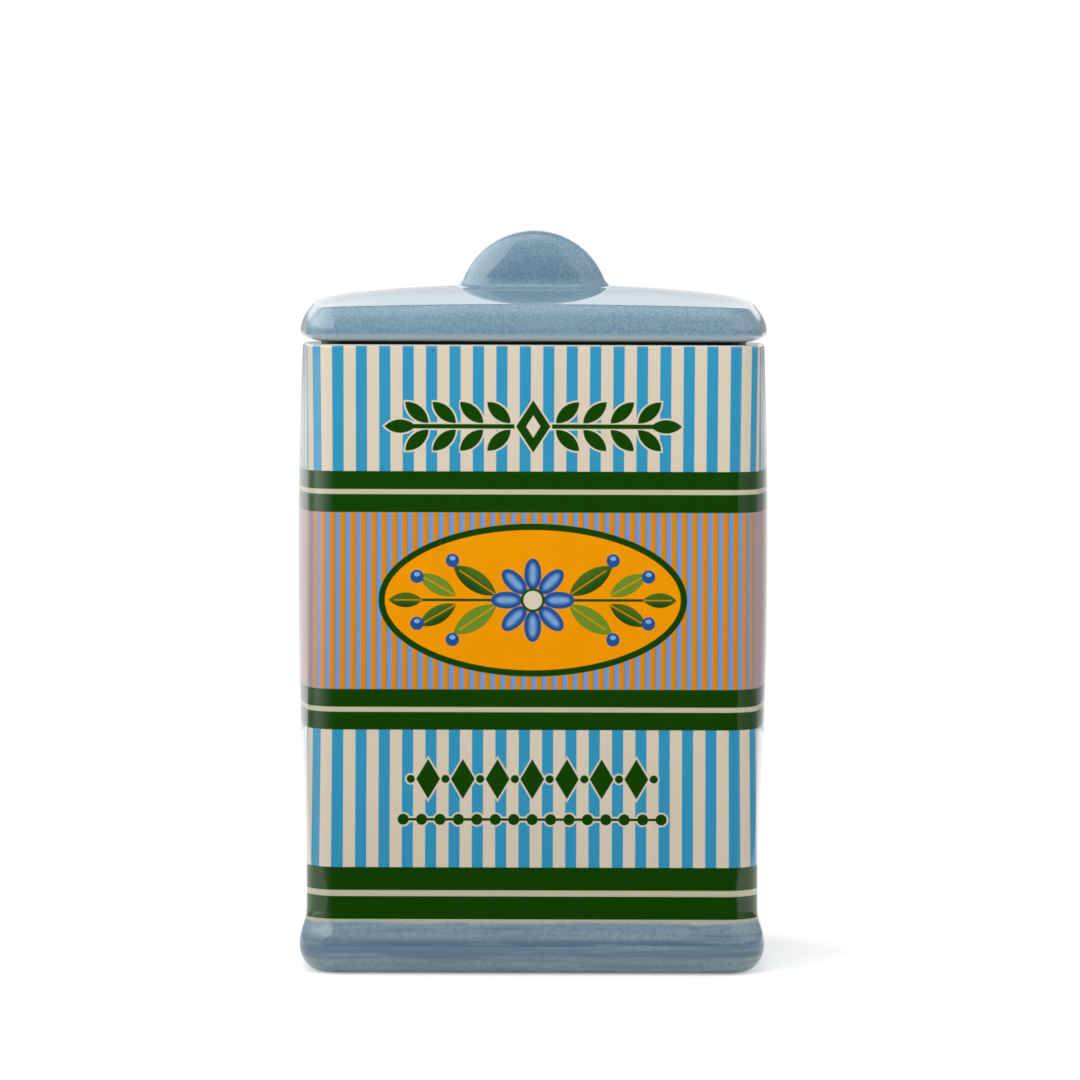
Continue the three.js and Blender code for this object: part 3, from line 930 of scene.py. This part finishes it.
def blue_glaze():
    """The lid's glaze: blue grey with a fine mottle and broader clouds, and painted paler along its
    underside, as painted light bounced up from the table.
    """
    material, tree, shader = new_material("blue_glaze")
    mottle = noise(tree, LID_MOTTLE_SIZE, detail=3)
    clouds = noise(tree, LID_CLOUD_SIZE, detail=3)
    colour = paint(tree, LID_BLUE, mottle.ramp(0.36, 0.64), LID_MOTTLE)
    colour = paint(tree, colour, clouds.ramp(0.4, 0.75, at_high=0.4), LID_CLOUD)
    # Painted light: paler towards the lid's underside, in place of light bounced up from the table
    height = components(tree, place_on_piece(tree))[2]
    painted_light = height.ramp(LID_SEAT, LID_SEAT + LID_UNDERSIDE_LIGHT_RISE, 0.9, 0)
    colour = paint(tree, colour, painted_light, LID_UNDERSIDE_LIGHT)
    gloss(tree, shader, flecked(tree, colour), LID_ROUGHNESS)
    return material


def silicone():
    """Silicone painted near black as painted shade for the gap under the lid, and a little dusty."""
    material, tree, shader = new_material("dark_silicone")
    dust = noise(tree, DUST_SIZE, detail=4)
    connect(tree, shader.inputs["Base Color"], paint(tree, SILICONE, dust.ramp(0.4, 0.7), SILICONE_DUST))
    connect(tree, shader.inputs["Roughness"], dust.ramp(0.3, 0.7, *SILICONE_ROUGHNESS))
    return material


# Stage

TABLE_FRONT = 0.13
TABLE_BACK = 0.6
TABLE_HALF_WIDTH = 0.3
TABLE_GAP = 0.02 * MM
TABLE_GREY = (0.8, 0.8, 0.8, 1)
TABLE_ROUGHNESS = 0.9
TABLE_GLOW = 0.4
CAMERA_DISTANCE = 1.3
CAMERA_HEIGHT = 187.8 * MM
CAMERA_ASIDE = 1.68 * MM
CAMERA_TILT = radians(3.111)
CAMERA_ROLL = radians(-0.17)
SENSOR = 36
IMAGE_SIZE = 1080
FOCAL_PIXELS = 4867
LAMP_TARGET = Vector((0, 0, 0.1))
LAMPS = (
    # name, place, size, power
    ("front_light", (-0.12, -0.33, 0.6), 0.5, 2.15),
    ("left_light", (-1.1, 0.8, 0.5), 0.8, 6),
    ("right_light", (1.1, 0.8, 0.5), 0.8, 6),
)

# Light that the glaze mirrors, where 1 is the white that the camera sees. The studio's functions spread it
# over directions, of which x points to the right, y away from the camera and z up.
LOW_LEFT_LIGHT = 2.4
LOW_LEFT_DIMMING = 1.8
LOW_UPPER_LIGHT = 1.1
LOW_RIGHT_LIGHT = 0.6
LOW_RIGHT_FAR_LIGHT = 0.28
LEFT_WALL_LIGHT = 4.8
RIGHT_WALL_LIGHT = 1.3
WALL_FOOT_LIGHT = 1.2
CEILING_LIGHT = 2.4
ZENITH_LIGHT = 0.4
FLOOR_LIGHT = 0.85
LEFT_HORIZON_LIGHT = 0.65
RIGHT_HORIZON_LIGHT = 0.35
SCREEN_LOW_LIGHT = 0.95
SCREEN_HIGH_LIGHT = 2.1
SCREEN_SLOPE = 0.46

# Light on rough surfaces, from below and from above
AMBIENT_BELOW = 1
AMBIENT_ABOVE = 0.5


def ray(tree, kind):
    """1 for rays of one kind and 0 for all others."""
    return Field(tree, tree.nodes.new("ShaderNodeLightPath").outputs[f"Is {kind} Ray"])


def table():
    """A pale table top, which is as white as the background to the camera, apart from the shadow."""
    mesh = bpy.data.meshes.new("table")
    left, right = -TABLE_HALF_WIDTH, TABLE_HALF_WIDTH
    front, back = -HALF_DEPTH - TABLE_FRONT, HALF_DEPTH + TABLE_BACK
    corners = ((left, front), (right, front), (right, back), (left, back))
    mesh.from_pydata([(x, y, -TABLE_GAP) for x, y in corners], [], [(0, 1, 2, 3)])
    floor = bpy.data.objects.new("table", mesh)
    bpy.context.scene.collection.objects.link(floor)
    material, tree, shader = new_material("table_white")
    shader.inputs["Base Color"].default_value = TABLE_GREY
    shader.inputs["Roughness"].default_value = TABLE_ROUGHNESS
    shader.inputs["Emission Color"].default_value = WHITE
    seen = ray(tree, "Camera").greater(ray(tree, "Glossy"))
    connect(tree, shader.inputs["Emission Strength"], seen * TABLE_GLOW)
    mesh.materials.append(material)


def low_light(x, y, z):
    """The studio near the horizon, by direction: bright on the left, dim on the right, dark in front."""
    right_turn = x.math("ARCTAN2", y * -1)
    left_turn = right_turn * -1
    left = left_turn.ramp(radians(20), radians(88), at_high=LOW_LEFT_LIGHT)
    left = left - left_turn.ramp(radians(84), radians(120), at_high=LOW_LEFT_DIMMING)
    left = left * z.ramp(-0.1, -0.04, 0.5, 1)
    right = right_turn.ramp(radians(50), radians(110), LOW_RIGHT_LIGHT, LOW_RIGHT_FAR_LIGHT)
    right = right * right_turn.ramp(radians(44), radians(48))
    most = z.ramp(-0.02, 0.06, LOW_LEFT_LIGHT, LOW_UPPER_LIGHT)
    return left.greater(right).lesser(most)


def high_light(x, y, z):
    """The studio higher up, by direction: two walls and a ceiling, which fade towards the back."""
    beside = abs(x) - (y * -1 + 1) * z.ramp(0.1, 0.45, 0.5, 0.2)
    walls = x.ramp(-0.95, 0.1, LEFT_WALL_LIGHT, RIGHT_WALL_LIGHT) * beside.ramp(-0.03, 0.03)
    walls = walls.lesser(z.ramp(0.12, 0.5, WALL_FOOT_LIGHT, LEFT_WALL_LIGHT))
    ceiling = y.ramp(-0.68, -0.1, at_high=CEILING_LIGHT) * z.ramp(0.3, 0.7) * x.ramp(0, 0.4, 1, 0.5)
    fade_starts = x.ramp(-0.6, -0.2, 0.2, 0.1)
    fade_ends = x.ramp(-0.6, -0.2, 0.8, 0.3)
    left_over = abs(x).ramp(0.15, 0.5, 0.2, 0.45)
    light = walls.greater(ceiling) * y.ramp(fade_starts, fade_ends, 1, left_over)
    return light.greater(z.ramp(0.1, 0.7, at_high=ZENITH_LIGHT))


def backdrop(x, z):
    """The studio behind the jar, by direction: a bright screen above a dim horizon, whose edge rises
    to both sides."""
    horizon = x.ramp(-0.3, -0.05, LEFT_HORIZON_LIGHT, RIGHT_HORIZON_LIGHT)
    horizon = horizon.towards(FLOOR_LIGHT, z.ramp(-0.03, -0.012, 1, 0))
    screen = z.ramp(0.15, 0.55, SCREEN_LOW_LIGHT, SCREEN_HIGH_LIGHT) * abs(x).ramp(0.03, 0.12, 0.95, 1.3)
    return horizon.towards(screen, (z - abs(x) * SCREEN_SLOPE).ramp(-0.02, 0.02))


def studio():
    """White to the camera, soft light for rough surfaces, and a studio for the glaze to mirror."""
    world = bpy.data.worlds.new("studio")
    bpy.context.scene.world = world
    world.use_nodes = True
    tree = world.node_tree
    x, y, z = components(tree, tree.nodes.new("ShaderNodeTexCoord").outputs["Generated"])
    sides = low_light(x, y, z).towards(high_light(x, y, z), z.ramp(0, 0.34))
    behind = (y + z * 0.2 - x.greater(0) * 0.35).ramp(0.8, 0.95)
    mirrored = sides.towards(backdrop(x, z), behind)
    ambient = z.ramp(-0.2, 0.2, AMBIENT_BELOW, AMBIENT_ABOVE)
    strength = ambient.towards(mirrored, ray(tree, "Glossy")).towards(1, ray(tree, "Camera"))
    background = tree.nodes["Background"]
    background.inputs["Color"].default_value = WHITE
    connect(tree, background.inputs["Strength"], strength)


def softbox(name, place, size, power):
    """A square area lamp that lights the jar without a mirror image of its own."""
    light = bpy.data.lights.new(name, "AREA")
    light.size = size
    light.energy = power
    lamp = bpy.data.objects.new(name, light)
    bpy.context.scene.collection.objects.link(lamp)
    lamp.location = place
    lamp.rotation_euler = (lamp.location - LAMP_TARGET).to_track_quat("Z", "Y").to_euler()
    lamp.visible_glossy = False


def camera():
    """A long lens at the height of the lid, looking slightly down."""
    data = bpy.data.cameras.new("camera")
    data.sensor_width = SENSOR
    data.lens = FOCAL_PIXELS * SENSOR / IMAGE_SIZE
    viewer = bpy.data.objects.new("camera", data)
    bpy.context.scene.collection.objects.link(viewer)
    viewer.location = (CAMERA_ASIDE, -HALF_DEPTH - CAMERA_DISTANCE, CAMERA_HEIGHT)
    viewer.rotation_euler = (pi / 2 - CAMERA_TILT, CAMERA_ROLL, 0)
    bpy.context.scene.camera = viewer


def dress():
    """Makes the pieces, ties each one to its CAD body and hides the CAD node that it replaces. The finish in
    each entry is not used.
    """
    plan = (
        (jar_glazed, "jar", "jar_body", "decorated_stoneware"),
        (lid_glazed, "lid", "lid", "blue_glazed_stoneware"),
        (seal_silicone, "lid", "lid_seal", "dark_silicone"),
    )
    for make, body, node, finish in plan:
        piece = make()
        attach(piece, body)
        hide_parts(node)


camera()
dress()
table()
studio()
for lamp in LAMPS:
    softbox(*lamp)
bpy.context.scene.view_settings.view_transform = "Standard"
